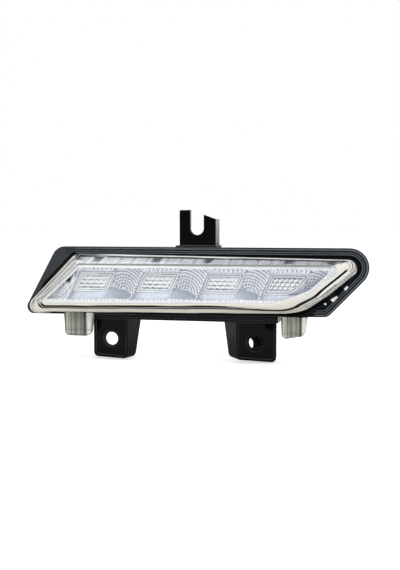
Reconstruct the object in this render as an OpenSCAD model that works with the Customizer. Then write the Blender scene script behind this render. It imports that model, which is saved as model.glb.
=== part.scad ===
// Daytime running light for a car bumper.
// X runs along the lamp, Z points up and the lens faces -Y.
// The origin is in the left tab's hole, where the bolt head seats.

/* [Overall] */
// Length of the housing flange
body_length = 240; // [210:1:270]
// Height of the housing flange
body_height = 48; // [42:1:56]
// Distance the lens stands in front of the flange
lens_depth = 22; // [18:0.5:26]
// Distance the housing reaches behind the flange
tray_depth = 27.5; // [25:0.5:36]

/* [Walls and clearances] */
// Wall of the clear lens
lens_wall = 2.5; // [2:0.1:3]
// Wall of the housing tray
tray_wall = 2.4; // [2:0.1:3]
// Thickness of the housing flange
flange_thick = 4; // [3.6:0.1:5]
// Space between the reflector and the parts round it
reflector_gap = 0.4; // [0.2:0.1:0.8]
// Space round each screw shank
screw_gap = 0.2; // [0.1:0.05:0.3]
// Space round the connector pins where they pass the rear wall
pin_gap = 0.1; // [0.05:0.05:0.2]

/* [Flange edge] */
// Width of the bead along the outer edge
bead_width = 1.7; // [1.2:0.1:2.2]
// Width of the ridge inside the bead
ridge_width = 0.9; // [0.6:0.1:1.2]
// Groove between the bead and the ridge
ridge_space = 0.9; // [0.6:0.1:1.2]
// Height of bead and ridge above the flange
bead_rise = 1; // [0.6:0.1:1.6]
// Depth of the trough round the lens
trough_depth = 2.4; // [1.5:0.1:3]

/* [Light cells] */
// Height of the optic in each cell
cell_height = 13.5; // [11:0.5:14]
// Lean of the cell sides, sideways travel for each unit of height
cell_lean = 0.45; // [0.3:0.05:0.6]
// Width of the optic in each cell
optic_width = 24; // [21:0.5:26]
// Rise of the sloping floor under the rings for each unit of depth
floor_slope = 0.5; // [0.4:0.05:0.6]
// Land left in front between the cells and the edge of the reflector
reflector_land = 0.7; // [0.5:0.1:1.2]
// Rings turned into each reflector bowl
bowl_rings = 10; // [6:1:12]
// Depth of the bowls
bowl_depth = 12.5; // [10:0.5:13]
// Spacing of the small pillows above the cells
pillow_pitch = 3.2; // [2.8:0.1:4]
// Rows of pillows on each optic
optic_rows = 4; // [3:1:5]
// Width of the border of each optic
optic_border = 1.6; // [1.2:0.1:2.2]

/* [Fixing tabs] */
// Width of the left tab
left_tab_width = 25.6; // [24:0.2:30]
// Width of the right tab
right_tab_width = 29; // [26:0.5:31]
// Spread of the tab side walls towards the rear
tab_flare = 16; // [8:1:18]
// Distance from the hole to the bottom of the tab
tab_drop = 13.4; // [11:0.2:16]
// Height of the hole centres
tab_hole_z = -40; // [-44:0.5:-38]
// Hole for the fixing bolt
tab_hole = 9.4; // [8:0.2:10.6]
// Turn of the right tab towards the end of the lamp
right_tab_turn = 22; // [15:1:28]
// Turn of the right hole, more than its tab
right_hole_turn = 34; // [24:1:36]
// Fall of the right hole towards the rear
right_hole_fall = 12; // [4:1:15]
// Depth of the tab side walls at the top
tab_depth = 18; // [14:0.5:20]
// Length of the collar behind the right hole
collar_length = 15; // [10:0.5:16]

/* [Slotted bracket] */
// Width of the open slot
slot_width = 9.4; // [8:0.2:10.6]
// Height of the centre of the slot floor
slot_z = 39; // [37:0.5:42]
// Height of the taller arm
arm_top = 51.6; // [48:0.2:56]
// Width of the arm left of the slot
arm_width = 7.8; // [6:0.2:9]
// Depth of the side wall of the bracket
bracket_depth = 14; // [10:0.5:16]
// Thickness of the bracket plate
bracket_plate = 3; // [2.4:0.1:4]

/* [Electronics] */
// Side of each light chip
led_size = 3.5; // [2.8:0.1:4.5]
// Thickness of the circuit boards
board_thick = 1.6; // [1.2:0.1:2]
// Fins on the heat sink
fin_count = 6; // [4:1:8]
// Height of the fins
fin_height = 3.5; // [2:0.1:4]
// Height of the storage coil
coil_height = 5; // [3.5:0.1:5.5]
// Length of the connector shroud
shroud_length = 15; // [11:0.5:20]

/* [Hidden] */
$fn = 48;
arc_steps = 7;
over = 1;

// The parts are drawn with the front plane of the flange at Y = 0, then placed on the origin.
// The outlines are drawn 240 long and 48 high, and follow the set size.
kx = body_length / 240;
kz = body_height / 48;
seat_y = -2;
front_y = -lens_depth;
reflector_front = front_y + lens_wall + 1.2;
reflector_back = 5;
groove_depth = 3.2;
tongue_end = 2.2;
tongue_step = 1.3;
rear_in = tray_depth - tray_wall;
cell_x = [-72.5 * kx, -27.2 * kx, 18 * kx, 60 * kx];
cell_low = -5 * kz;
cell_high = cell_low + cell_height;
floor_low = -12 * kz;
floor_front = reflector_front + 0.7;
bowl_x = 16 * kx;
bowl_z = -4.5 * kz;
optic_front = reflector_front + 4;
optic_thick = 3.4;
box_back = optic_front + 10;
board_front = 7;
board_back = board_front + board_thick;
pad_thick = 0.4;
sink_front = board_back + pad_thick;
sink_base = 2;
sink_back = sink_front + sink_base;
board_x = [-92 * kx, 77 * kx];
board_h = 16 * kz;
link_x = 4 * kx;
link_z = 10.4 * kz;
driver_x = [-20 * kx, 44 * kx];
driver_z = [-9 * kz, 12.5 * kz];
driver_back = rear_in - 1.4;
driver_front = driver_back - board_thick;
board_screw_x = [-60 * kx, -27 * kx, 52 * kx];
board_screw_z = 5.6 * kz;
post_x = [-103 * kx, 86 * kx];
post_z = [-9 * kz, 5 * kz];
tab_x = [-66.1 * kx, 37.8 * kx];
tab_face = [5, 10];
tab_plate = 3;
face_sink = 1;
seat_sink = 1.5;
rail_low = -25.5 * kz;
plug_x = 18 * kx;
plug_z = -2 * kz;
vent_x = -62 * kx;
vent_z = 4 * kz;

// Corner points and corner radii, going round against the clock from the lower left
rim_corners = [[-131 * kx, -22.6 * kz], [73 * kx, -20.6 * kz], [87.5 * kx, -20.2 * kz],
    [131.7 * kx, 26 * kz], [-104.1 * kx, 26 * kz]];
rim_radii = [5, 20, 6, 13, 10];
seat_corners = [[-132.5 * kx, -22 * kz], [72 * kx, -19.5 * kz], [96.5 * kx, -3.5 * kz],
    [111.5 * kx, 18.2 * kz], [-90 * kx, 21 * kz]];
seat_radii = [5.4, 34, 28, 6, 9];
front_corners = [[-115 * kx, -15.2 * kz], [53 * kx, -12 * kz], [75 * kx, -4.5 * kz],
    [98 * kx, 15.5 * kz], [-81 * kx, 14.4 * kz]];
front_radii = [4, 26, 26, 3.5, 5];

function unit(v) = v / norm(v);
function turned(v) = [-v[1], v[0]];
function spun(v, a) = [v[0] * cos(a) - v[1] * sin(a), v[0] * sin(a) + v[1] * cos(a)];
function before(list, i) = list[(i + len(list) - 1) % len(list)];
function after(list, i) = list[(i + 1) % len(list)];

// Moves every side of a corner list inwards by d
function moved_in(pts, d) = [for (i = [0:len(pts) - 1])
    let(m = turned(unit(pts[i] - before(pts, i))), n = turned(unit(after(pts, i) - pts[i])))
    pts[i] + d * (m + n) / (1 + m * n)];

// Replaces every corner by an arc
function rounded(pts, radii) = [for (i = [0:len(pts) - 1])
    let(a = unit(before(pts, i) - pts[i]),
        b = unit(after(pts, i) - pts[i]),
        half = acos(a * b) / 2,
        centre = pts[i] + unit(a + b) * radii[i] / sin(half),
        arm = pts[i] + a * radii[i] / tan(half) - centre)
    for (s = [0:arc_steps]) centre + spun(arm, s * (180 - 2 * half) / arc_steps)];

function mixed(a, b, t) = a * (1 - t) + b * t;
function shrunk(radii, d) = [for (r = radii) max(r - d, 1.2)];
function rim_outline(d) = rounded(moved_in(rim_corners, d), shrunk(rim_radii, d));

// Lens outline at a share t of the way from the seat to the front, moved in by d
function lens_outline(t, d) = rounded(
    moved_in(mixed(seat_corners, front_corners, t), d),
    shrunk(mixed(seat_radii, front_radii, t), d));
function share(y) = min(max((seat_y - y) / (seat_y - front_y), 0), 1);
function ring_at(y, d) = [for (p = lens_outline(share(y), d)) [p[0], y, p[1]]];

// Rings on the way from depth y1 to depth y2, both ends included
function rings_between(y1, y2, d) = [for (k = [0:5]) ring_at(mixed(y1, y2, k / 5), d)];

// Solid skin through rings with equal point counts, closed by the first and the last ring
module skin(rings) {
    n = len(rings[0]);
    last = len(rings) - 1;
    sides = [for (k = [0:last - 1], i = [0:n - 1])
        let(j = (i + 1) % n)
        each [[k * n + i, k * n + j, (k + 1) * n + j], [k * n + i, (k + 1) * n + j, (k + 1) * n + i]]];
    first_cap = [for (i = [n - 1:-1:0]) i];
    last_cap = [for (i = [0:n - 1]) last * n + i];
    polyhedron(points = [for (r = rings) each r], faces = concat(sides, [first_cap, last_cap]));
}

// Draws a flat shape given in X and Z, from depth y1 to depth y2
module slab(y1, y2) {
    translate([0, y2, 0])
        rotate([90, 0, 0])
            linear_extrude(y2 - y1)
                children();
}

module block(x1, x2, y1, y2, z1, z2) {
    translate([x1, y1, z1])
        cube([x2 - x1, y2 - y1, z2 - z1]);
}

// Cylinder along Y
module rod(x, z, d, y1, y2) {
    translate([x, y2, z])
        rotate([90, 0, 0])
            cylinder(d = d, h = y2 - y1);
}

module round_plate(x1, x2, z1, z2, r) {
    polygon(rounded([[x1, z1], [x2, z1], [x2, z2], [x1, z2]], [r, r, r, r]));
}

// Front view of the band that carries the lens
module seat_band(out, in) {
    difference() {
        polygon(lens_outline(0, out));
        polygon(lens_outline(0, in));
    }
}

module rim_band(out, in) {
    difference() {
        polygon(rim_outline(out));
        polygon(rim_outline(in));
    }
}

// Housing
module flange() {
    difference() {
        slab(0, flange_thick)
            polygon(rim_outline(0));
        slab(-over, trough_depth)
            trough_shape();
    }
    difference() {
        slab(-bead_rise, 0)
            intersection() {
                union() {
                    rim_band(0, bead_width);
                    rim_band(bead_width + ridge_space, bead_width + ridge_space + ridge_width);
                }
                polygon([[-95 * kx, 40 * kz], [-99 * kx, 20 * kz], [78 * kx, 20 * kz],
                    [78 * kx, -40 * kz], [140 * kx, -40 * kz], [140 * kx, 40 * kz]]);
            }
        for (x = [-46, 77])
            block(x * kx - 0.4, x * kx + 0.4, -bead_rise - over, over, 20 * kz, 30 * kz);
    }
}

module trough_shape() {
    edge = bead_width + ridge_space + ridge_width;
    difference() {
        intersection() {
            polygon(rim_outline(edge));
            union() {
                polygon(lens_outline(0, -2.6));
                translate([64 * kx, -40 * kz])
                    square([80 * kx, 80 * kz]);
            }
        }
        polygon(lens_outline(0, -0.3));
    }
}

module tray() {
    slab(0, tray_depth)
        polygon(lens_outline(0, 1.7));
}

module tray_space() {
    slab(-over, rear_in)
        polygon(lens_outline(0, lens_wall + 0.4 + tongue_step));
}

// One fixing tab in its own frame: hole axis along Y through the origin, front face at Y = 0
module tab_shell(half, slope, top) {
    difference() {
        skin([tab_ring(0, half, slope, top, 0, 3.4), tab_ring(tab_depth, half, slope, top, 0, 3.4)]);
        skin([tab_ring(tab_plate + face_sink, half, slope, top, tray_wall, 1.4),
            tab_ring(tab_depth + over, half, slope, top, tray_wall, 1.4)]);
        skin([tab_ring(-over, half, slope, top, 1.8, 2), tab_ring(face_sink, half, slope, top, 1.8, 2)]);
        translate([0, tab_depth, top])
            rotate([-16, 0, 0])
                translate([-2 * half, 0, -2 * (top + tab_drop)])
                    cube([4 * half, tab_depth, 2 * (top + tab_drop)]);
    }
}

// Outline of a tab at depth y, moved in by d, with its sides spread by the depth
function tab_ring(y, half, slope, top, d, r) =
    let(h = half + y * tan(tab_flare) - d)
    [for (p = rounded([[-h, -tab_drop + slope * h + d], [h, -tab_drop - slope * h + d],
        [h, top - d], [-h, top - d]], [r, r, r, r])) [p[0], y, p[1]]];

module tab_left() {
    translate([tab_x[0], tab_face[0], tab_hole_z])
        tab_shell(left_tab_width / 2, 0.045, rail_low - tab_hole_z + 3);
}

module tab_right() {
    translate([tab_x[1], tab_face[1], tab_hole_z]) {
        rotate([0, 0, right_tab_turn])
            tab_shell(right_tab_width / 2, 0.1, rail_low - tab_hole_z + 3);
        rotate([-right_hole_fall, 0, right_hole_turn])
            rod(0, 0, tab_hole + 4, seat_sink, collar_length);
    }
}

module tab_bore(length) {
    rod(0, 0, tab_hole, -3 * over, length + over);
    rod(0, 0, tab_hole + 2.6, -3 * over, seat_sink);
}

// Rail under the tray that joins the two tabs
module rail() {
    x1 = tab_x[0] - left_tab_width / 2 - 0.7;
    x2 = tab_x[1] + right_tab_width / 2 + 1.7;
    difference() {
        block(x1, x2, 2, 17, rail_low, -17 * kz);
        block(x1 + tray_wall, x2 - tray_wall, 4.6, 17 + over, rail_low + tray_wall, -15 * kz);
    }
    block(x1, x2, 1.2, 2, rail_low + 1.6, rail_low + 3);
    for (x = [-44 * kx, -22 * kx, 0])
        block(x - 1, x + 1, 3, 17, rail_low + 1, -16 * kz);
}

// Slotted bracket on top of the tray
module bracket() {
    face = 8;
    x1 = slot_left - arm_width;
    x2 = slot_left + slot_width + 8.6;
    back = face + bracket_plate;
    difference() {
        slab(face, back)
            polygon([[x1, 16 * kz], [x2, 16 * kz], [x2, arm_top - 6.2], [x2 - 1.6, arm_top - 5.8],
                [slot_left + slot_width + 0.4, arm_top - 3.4], [slot_left, arm_top + 0.2],
                [slot_left - 0.6, arm_top], [x1 + 0.8, arm_top], [x1, arm_top - 0.8]]);
        rod(slot_left + slot_width / 2, slot_z, slot_width, face - over, back + over);
        block(slot_left, slot_left + slot_width, face - over, back + over, slot_z, arm_top + 5);
    }
    block(x2 - tray_wall, x2, face, face + bracket_depth, 16 * kz, arm_top - 6.2);
    difference() {
        block(x1, x1 + tray_wall, face, face + bracket_depth, 16 * kz, slot_z - 5);
        translate([x1 - over, face + bracket_plate, slot_z - 5])
            rotate([-42, 0, 0])
                cube([tray_wall + 2 * over, 40, 40]);
    }
    block(x1 - 2, x2 + 1.4, flange_thick, face + bracket_depth, 25 * kz, 27 * kz);
    for (x = [x1 - 2, x2 + 1.4 - tray_wall])
        block(x, x + tray_wall, flange_thick, face + bracket_depth, 16 * kz, 26 * kz);
}
slot_left = -8.5 * kx;

module shroud() {
    difference() {
        slab(tray_depth, tray_depth + shroud_length)
            round_plate(plug_x - 10, plug_x + 10, plug_z - 6.5, plug_z + 6.5, 2);
        slab(tray_depth, tray_depth + shroud_length + over)
            round_plate(plug_x - 8.2, plug_x + 8.2, plug_z - 4.7, plug_z + 4.7, 1.2);
    }
    block(plug_x - 3, plug_x + 3, tray_depth, tray_depth + 9, plug_z + 6, plug_z + 8);
}

module rear_housing() {
    color("#15171a")
        difference() {
            union() {
                difference() {
                    union() {
                        flange();
                        tray();
                    }
                    tray_space();
                }
                difference() {
                    union() {
                        rail();
                        tab_left();
                        tab_right();
                        bracket();
                    }
                    slab(-over, rear_in)
                        polygon(lens_outline(0, 1.7 + tray_wall));
                }
                shroud();
                for (x = board_screw_x, s = [-1, 1])
                    rod(x, s * board_screw_z, 6, sink_back, rear_in + over / 2);
                for (x = driver_screw_x)
                    rod(x, driver_screw_z, 5, driver_back, rear_in + over / 2);
                for (i = [0:1])
                    rod(post_x[i], post_z[i], 9, rear_in - 2, rear_in + over / 2);
                rod(vent_x, vent_z, 9, tray_depth - over, tray_depth + 4);
                for (z = [-12 * kz, 12 * kz])
                    block(-84 * kx, 70 * kx, tray_depth - over, tray_depth + 1.4, z - 0.9, z + 0.9);
            }
            slab(-over, groove_depth)
                seat_band(0.8, lens_wall + 0.4);
            translate([tab_x[0], tab_face[0], tab_hole_z])
                tab_bore(tab_plate + face_sink);
            translate([tab_x[1], tab_face[1], tab_hole_z])
                rotate([-right_hole_fall, 0, right_hole_turn])
                    tab_bore(collar_length);
            for (x = board_screw_x, s = [-1, 1])
                rod(x, s * board_screw_z, 2.4 + 2 * screw_gap, sink_back - over, rear_in - 2);
            for (x = driver_screw_x)
                rod(x, driver_screw_z, 1.6 + 2 * screw_gap, driver_back - over, rear_in + 0.8);
            for (i = [0:1])
                rod(post_x[i], post_z[i], 3 + 2 * screw_gap, rear_in - 3, tray_depth + over);
            for (s = [-1, 1])
                pin_shape(s, pin_gap, rear_in - over, tray_depth + over);
            rod(vent_x, vent_z, 4.4, rear_in - over, tray_depth + 5);
        }
}
driver_screw_x = [driver_x[0] + 4, driver_x[1] - 4];
driver_screw_z = -6 * kz;

// Clear lens
module lens_shell() {
    y_in = front_y + lens_wall;
    fillet = 2.4;
    outer = concat(
        [for (a = [90:-30:30]) ring_at(front_y + fillet * (1 - sin(a)), fillet * (1 - cos(a)))],
        rings_between(front_y + fillet, seat_y, 0),
        [ring_at(0, 0), ring_at(0, tongue_step), ring_at(tongue_end, tongue_step)]);
    inner = concat(
        [ring_at(tongue_end, lens_wall)],
        rings_between(seat_y, y_in + 1, lens_wall),
        [ring_at(y_in, lens_wall + 1)]);
    skin(concat(outer, inner));
}

// Cup shaped lug below the lens edge, open to the rear
module lug(x1, x2, low, rise) {
    wall = 2.4;
    front = -5.6;
    rear = -0.3;
    top = -8 * kz;
    middle = (x1 + x2) / 2;
    difference() {
        slab(front, rear)
            polygon(rounded([[x1 + 0.8, low], [x2 - 1.6, low + rise], [x2, top], [x1, top]], [3, 4, 0.6, 0.6]));
        difference() {
            slab(front + wall, over)
                polygon(rounded([[x1 + 0.8 + wall, low + wall], [x2 - 1.6 - wall, low + rise + wall],
                    [x2 - wall, lug_ceiling], [x1 + wall, lug_ceiling]], [1.6, 2, 0.5, 0.5]));
            block(middle - 1, middle + 1, front, rear, low, top);
        }
        slab(front - over, over)
            polygon(lens_outline(0, 1.9));
    }
}
lug_ceiling = -24.5 * kz;

module front_lens() {
    color("#dfe8ee", 0.4) {
        lens_shell();
        lug(-97.5 * kx, -78 * kx, -37 * kz, 0);
        lug(56.5 * kx, 74.5 * kx, -35.5 * kz, 2.7 * kz);
        for (p = [[96.8, 0.2], [89.2, -7.4]])
            translate([p[0] * kx, 0, p[1] * kz])
                rotate([0, 41, 0])
                    block(-2.4, 2, -1.8, -0.3, -1.1, 1.1);
    }
}

module seal_bead() {
    color("#2b2d30")
        slab(tongue_end, groove_depth)
            seat_band(0.8, lens_wall + 0.4);
}

// Reflector
module leaning(left, right, low, high) {
    polygon([[left + low * cell_lean, low], [right + low * cell_lean, low],
        [right + high * cell_lean, high], [left + high * cell_lean, high]]);
}

// Space above a floor that starts low in front and rises towards the rear
module above_floor(rise_to, slope) {
    end = floor_front + (rise_to - floor_low) / slope;
    translate([-200, 0, 0])
        rotate([90, 0, 90])
            linear_extrude(400)
                polygon([[-lens_depth - 10, floor_low - 10], [floor_front, floor_low - 10],
                    [floor_front, floor_low], [end, rise_to], [reflector_back + 10, rise_to],
                    [reflector_back + 10, 40], [-lens_depth - 10, 40]]);
}

module cell_part(left, right, high, back) {
    slab(reflector_front - over, back)
        intersection() {
            polygon(lens_outline(share(reflector_front), reflector_edge + reflector_land));
            leaning(left, right, -20 * kz, high);
        }
}

// Space of a cell, a box behind the sill of its optic and a bowl over the sloping floor beside it
module cell_space(i) {
    intersection() {
        cell_part(cell_left(i), cell_left(i) + optic_width + 0.5, cell_high, box_back);
        above_floor(cell_low, (cell_low - floor_low) / (optic_front - floor_front));
    }
    intersection() {
        cell_part(cell_left(i) + optic_width, cell_right(i), 20 * kz, reflector_back - 1.6);
        above_floor(cell_low + 5, floor_slope);
        bowl(i);
    }
}

function cell_left(i) = cell_x[i] - optic_width / 2;
function cell_right(i) = i < 3 ? cell_left(i + 1) - 1.6 : cell_left(i) + 60 * kx;

// Stepped bowl, drawn as half a section with its height towards the viewer
module bowl(i) {
    inner = 5;
    floor_h = -reflector_front - 1.8 - bowl_depth;
    step = 21 * kx / bowl_rings;
    rise = bowl_depth / bowl_rings;
    translate([cell_x[i] + bowl_x, 0, bowl_z])
        rotate([90, 0, 0])
            rotate_extrude()
                polygon(concat(
                    [[0, floor_h]],
                    [for (k = [0:bowl_rings - 1]) each [
                        [inner + k * step, floor_h + k * rise],
                        [inner + (k + 0.8) * step, floor_h + (k + 0.35) * rise]]],
                    [[inner + bowl_rings * step, floor_h + bowl_depth],
                        [inner + bowl_rings * step + 12, floor_h + bowl_depth + 1],
                        [inner + bowl_rings * step + 12, lens_depth + 4], [0, lens_depth + 4]]));
}

module reflector() {
    body = concat(
        rings_between(reflector_front, seat_y - 1, reflector_edge),
        [ring_at(-0.6, reflector_in), ring_at(reflector_back, reflector_in)]);
    color("#c9cdd6")
        difference() {
            union() {
                skin(body);
                for (i = [0:1])
                    rod(post_x[i], post_z[i], 7, reflector_back - over, rear_in - 2);
            }
            for (i = [0:3])
                cell_space(i);
            for (i = [0:3])
                rod(cell_x[i], 0, led_size + 5, box_back - over, reflector_back + over);
            for (i = [0:3], n = [0:floor((optic_width - 4) / pillow_pitch)])
                block(cell_left(i) + cell_high * cell_lean + 1 + n * pillow_pitch,
                    cell_left(i) + cell_high * cell_lean + 3 + n * pillow_pitch,
                    reflector_front - over, reflector_front + 0.6, cell_high + 0.8, cell_high + 2.6);
            intersection() {
                slab(reflector_front - over, reflector_front + 7)
                    cell_shape(cell_left(0) - 40 * kx, cell_left(0) - 1.6);
                above_floor(cell_low, (cell_low - floor_low) / (optic_front - floor_front));
            }
            for (i = [0:1])
                rod(post_x[i], post_z[i], 2.6, rear_in - 14, rear_in);
        }
}
reflector_in = lens_wall + 0.4 + tongue_step + reflector_gap;
reflector_edge = lens_wall + 0.5 + reflector_gap;

// Front view of the pocket left of the first cell
module cell_shape(left, right) {
    intersection() {
        polygon(lens_outline(share(reflector_front), reflector_edge + reflector_land));
        leaning(left, right, -20 * kz, cell_high);
    }
}

// Front view of an optic, moved in by d, the last one cut along the curved end of the lens
module optic_shape(i, d) {
    shift = i < 3 ? 0 : -14 * kx;
    left = cell_left(i) + 1.2 * d;
    right = cell_left(i) + optic_width - 1.2 * d;
    intersection() {
        leaning(left, right, cell_low + d, cell_high - d);
        translate([shift, 0])
            polygon(lens_outline(share(reflector_front), reflector_edge + reflector_land + d));
    }
}

// Optic in front of a light chip
module optic(i) {
    row = (cell_height - 2 * optic_border) / optic_rows;
    color("#f3f6f8", 0.6) {
        difference() {
            slab(optic_front, optic_front + optic_thick)
                optic_shape(i, 0);
            slab(optic_front - over, optic_front + 1.4)
                optic_shape(i, optic_border);
        }
        intersection() {
            slab(optic_front + 0.4, optic_front + 2)
                optic_shape(i, optic_border / 2);
            for (r = [0:optic_rows - 1])
                translate([cell_left(i) - 20, optic_front + 1.9, cell_low + optic_border + (r + 0.5) * row])
                    rotate([0, 90, 0])
                        cylinder(d = 2.6, h = optic_width + 40);
        }
    }
}

// Electronics
module led_board() {
    color("#e9ebe6")
        difference() {
            union() {
                block(board_x[0], board_x[1], board_front, board_back, -board_h / 2, board_h / 2);
                block(link_x - 8, link_x + 8, board_front, board_back, board_h / 2 - over, link_z + 2.2);
            }
            for (x = board_screw_x, s = [-1, 1])
                rod(x, s * board_screw_z, 2.4 + 2 * screw_gap, board_front - over, board_back + over);
        }
}

module led(i) {
    half = led_size / 2;
    color("#f4d77a") {
        block(cell_x[i] - half, cell_x[i] + half, board_front - 0.9, board_front, -half, half);
        translate([cell_x[i], board_front - 0.9, 0])
            rotate([90, 0, 0])
                cylinder(d1 = led_size * 0.8, d2 = led_size * 0.5, h = 0.8);
    }
}

module thermal_pad() {
    color("#9aa7b5")
        difference() {
            block(board_x[0], board_x[1], board_back, sink_front, -board_h / 2, board_h / 2);
            for (x = board_screw_x, s = [-1, 1])
                rod(x, s * board_screw_z, 2.4 + 2 * screw_gap, board_back - over, sink_front + over);
        }
}

module heat_sink() {
    color("#b9bdc2")
        difference() {
            union() {
                block(board_x[0], board_x[1], sink_front, sink_back, -board_h / 2, board_h / 2);
                for (n = [0:fin_count - 1]) {
                    z = -board_h / 2 + 0.6 + n * (board_h - 1.2) / (fin_count - 1);
                    block(board_x[0] + 4, board_x[1] - 4, sink_back - over / 2, sink_back + fin_height,
                        z - 0.6, z + 0.6);
                }
            }
            for (x = board_screw_x, s = [-1, 1]) {
                rod(x, s * board_screw_z, 2.4 + 2 * screw_gap, sink_front - over, sink_back + over);
                rod(x, s * board_screw_z, 7.2, sink_back, sink_back + fin_height + over);
            }
        }
}

module board_screws() {
    color("#8f9396")
        for (x = board_screw_x, s = [-1, 1]) {
            rod(x, s * board_screw_z, 4.2, board_front - 1.4, board_front);
            rod(x, s * board_screw_z, 2.4, board_front - over, sink_back + 8);
        }
}

module driver_board() {
    color("#2f6b4a")
        difference() {
            block(driver_x[0], driver_x[1], driver_front, driver_back, driver_z[0], driver_z[1]);
            for (x = driver_screw_x)
                rod(x, driver_screw_z, 1.6 + 2 * screw_gap, driver_front - over, driver_back + over);
        }
}

module driver_chip() {
    color("#222222")
        block(driver_x[0] + 12, driver_x[0] + 18, driver_front - 1.6, driver_front, 1, 7);
    color("#b5b8ba")
        for (n = [0:3], s = [0, 1])
            block(driver_x[0] + 10.8 + s * 7.2, driver_x[0] + 12 + s * 7.2,
                driver_front - 0.6, driver_front, 1.4 + n * 1.5, 1.9 + n * 1.5);
}

module coil() {
    color("#3b3b3e")
        rod(driver_x[1] - 14, 2, 9, driver_front - coil_height, driver_front);
}

module capacitors() {
    color("#b9bcc0")
        for (n = [0:1])
            rod(driver_x[0] + 26 + n * 8, 4, 6, driver_front - 5, driver_front);
}

module diode() {
    color("#1f2022")
        block(driver_x[0] + 12, driver_x[0] + 16.6, driver_front - 2, driver_front, -7, -4.2);
}

// Straight header that joins the two boards
module link_header() {
    color("#26282b")
        block(link_x - 6, link_x + 6, board_back, board_back + 2.4, link_z - 1.2, link_z + 1.2);
    color("#c7a14a")
        for (n = [-1.5:1:1.5])
            block(link_x + n * 2.54 - 0.32, link_x + n * 2.54 + 0.32, board_back + 2, driver_front,
                link_z - 0.32, link_z + 0.32);
}

module driver_screws() {
    color("#8f9396")
        for (x = driver_screw_x) {
            rod(x, driver_screw_z, 3.2, driver_front - 1.2, driver_front);
            rod(x, driver_screw_z, 1.6, driver_front - over, driver_back + 2);
        }
}

module pin_shape(side, gap, y1, y2) {
    x = plug_x + side * 3.5;
    block(x - 0.8 - gap, x + 0.8 + gap, y1, y2, plug_z - 0.4 - gap, plug_z + 0.4 + gap);
}

module connector_pins() {
    color("#c7a14a")
        for (s = [-1, 1])
            pin_shape(s, 0, driver_back, tray_depth + shroud_length - 6);
}

module reflector_screws() {
    color("#8f9396")
        for (i = [0:1]) {
            rod(post_x[i], post_z[i], 6, tray_depth, tray_depth + 2);
            rod(post_x[i], post_z[i], 2.6, rear_in - 12, tray_depth + over);
        }
}

module vent_cap() {
    color("#1b1c1e")
        difference() {
            rod(vent_x, vent_z, 12, tray_depth + 1.6, tray_depth + 6);
            rod(vent_x, vent_z, 9, tray_depth, tray_depth + 4);
            for (a = [0:60:300])
                translate([vent_x, 0, vent_z])
                    rotate([0, a, 0])
                        block(4.8, 7, tray_depth + over, tray_depth + 2.6, -0.8, 0.8);
        }
}

// Moves the finished lamp so that the origin is the seat of the left hole
module placed() {
    translate([-tab_x[0], -tab_face[0] - seat_sink, -tab_hole_z])
        children();
}

placed() rear_housing();
placed() front_lens();
placed() seal_bead();
placed() reflector();
placed() optic(0);  // inner_optic_1
placed() optic(1);  // inner_optic_2
placed() optic(2);  // inner_optic_3
placed() optic(3);  // inner_optic_4
placed() led_board();
placed() led(0);  // led_1
placed() led(1);  // led_2
placed() led(2);  // led_3
placed() led(3);  // led_4
placed() thermal_pad();
placed() heat_sink();
placed() board_screws();
placed() driver_board();
placed() driver_chip();
placed() coil();
placed() capacitors();
placed() diode();
placed() link_header();
placed() driver_screws();
placed() connector_pins();
placed() reflector_screws();
placed() vent_cap();
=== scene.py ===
"""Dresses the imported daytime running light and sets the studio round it."""

import math

import bpy
import numpy as np
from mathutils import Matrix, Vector

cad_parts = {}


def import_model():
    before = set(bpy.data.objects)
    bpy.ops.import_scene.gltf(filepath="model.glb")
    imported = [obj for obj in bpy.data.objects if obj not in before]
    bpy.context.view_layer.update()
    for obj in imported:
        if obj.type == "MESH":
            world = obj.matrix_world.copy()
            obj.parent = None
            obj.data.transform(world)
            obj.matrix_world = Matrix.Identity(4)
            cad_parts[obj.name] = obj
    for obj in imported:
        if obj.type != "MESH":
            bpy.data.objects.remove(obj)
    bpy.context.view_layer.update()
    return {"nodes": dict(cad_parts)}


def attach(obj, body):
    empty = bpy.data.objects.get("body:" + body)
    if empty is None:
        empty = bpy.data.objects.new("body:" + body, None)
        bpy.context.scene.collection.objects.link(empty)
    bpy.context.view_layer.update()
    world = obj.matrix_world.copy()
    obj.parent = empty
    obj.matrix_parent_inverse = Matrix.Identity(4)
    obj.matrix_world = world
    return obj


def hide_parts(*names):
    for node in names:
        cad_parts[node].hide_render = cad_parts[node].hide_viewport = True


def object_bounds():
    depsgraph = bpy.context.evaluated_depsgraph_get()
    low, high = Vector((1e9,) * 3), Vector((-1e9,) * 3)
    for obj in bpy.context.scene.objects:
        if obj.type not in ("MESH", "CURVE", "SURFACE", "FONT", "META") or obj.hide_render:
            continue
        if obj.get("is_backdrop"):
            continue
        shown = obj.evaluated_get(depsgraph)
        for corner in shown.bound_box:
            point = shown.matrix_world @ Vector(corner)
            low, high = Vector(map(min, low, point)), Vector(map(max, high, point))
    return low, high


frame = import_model()

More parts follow.
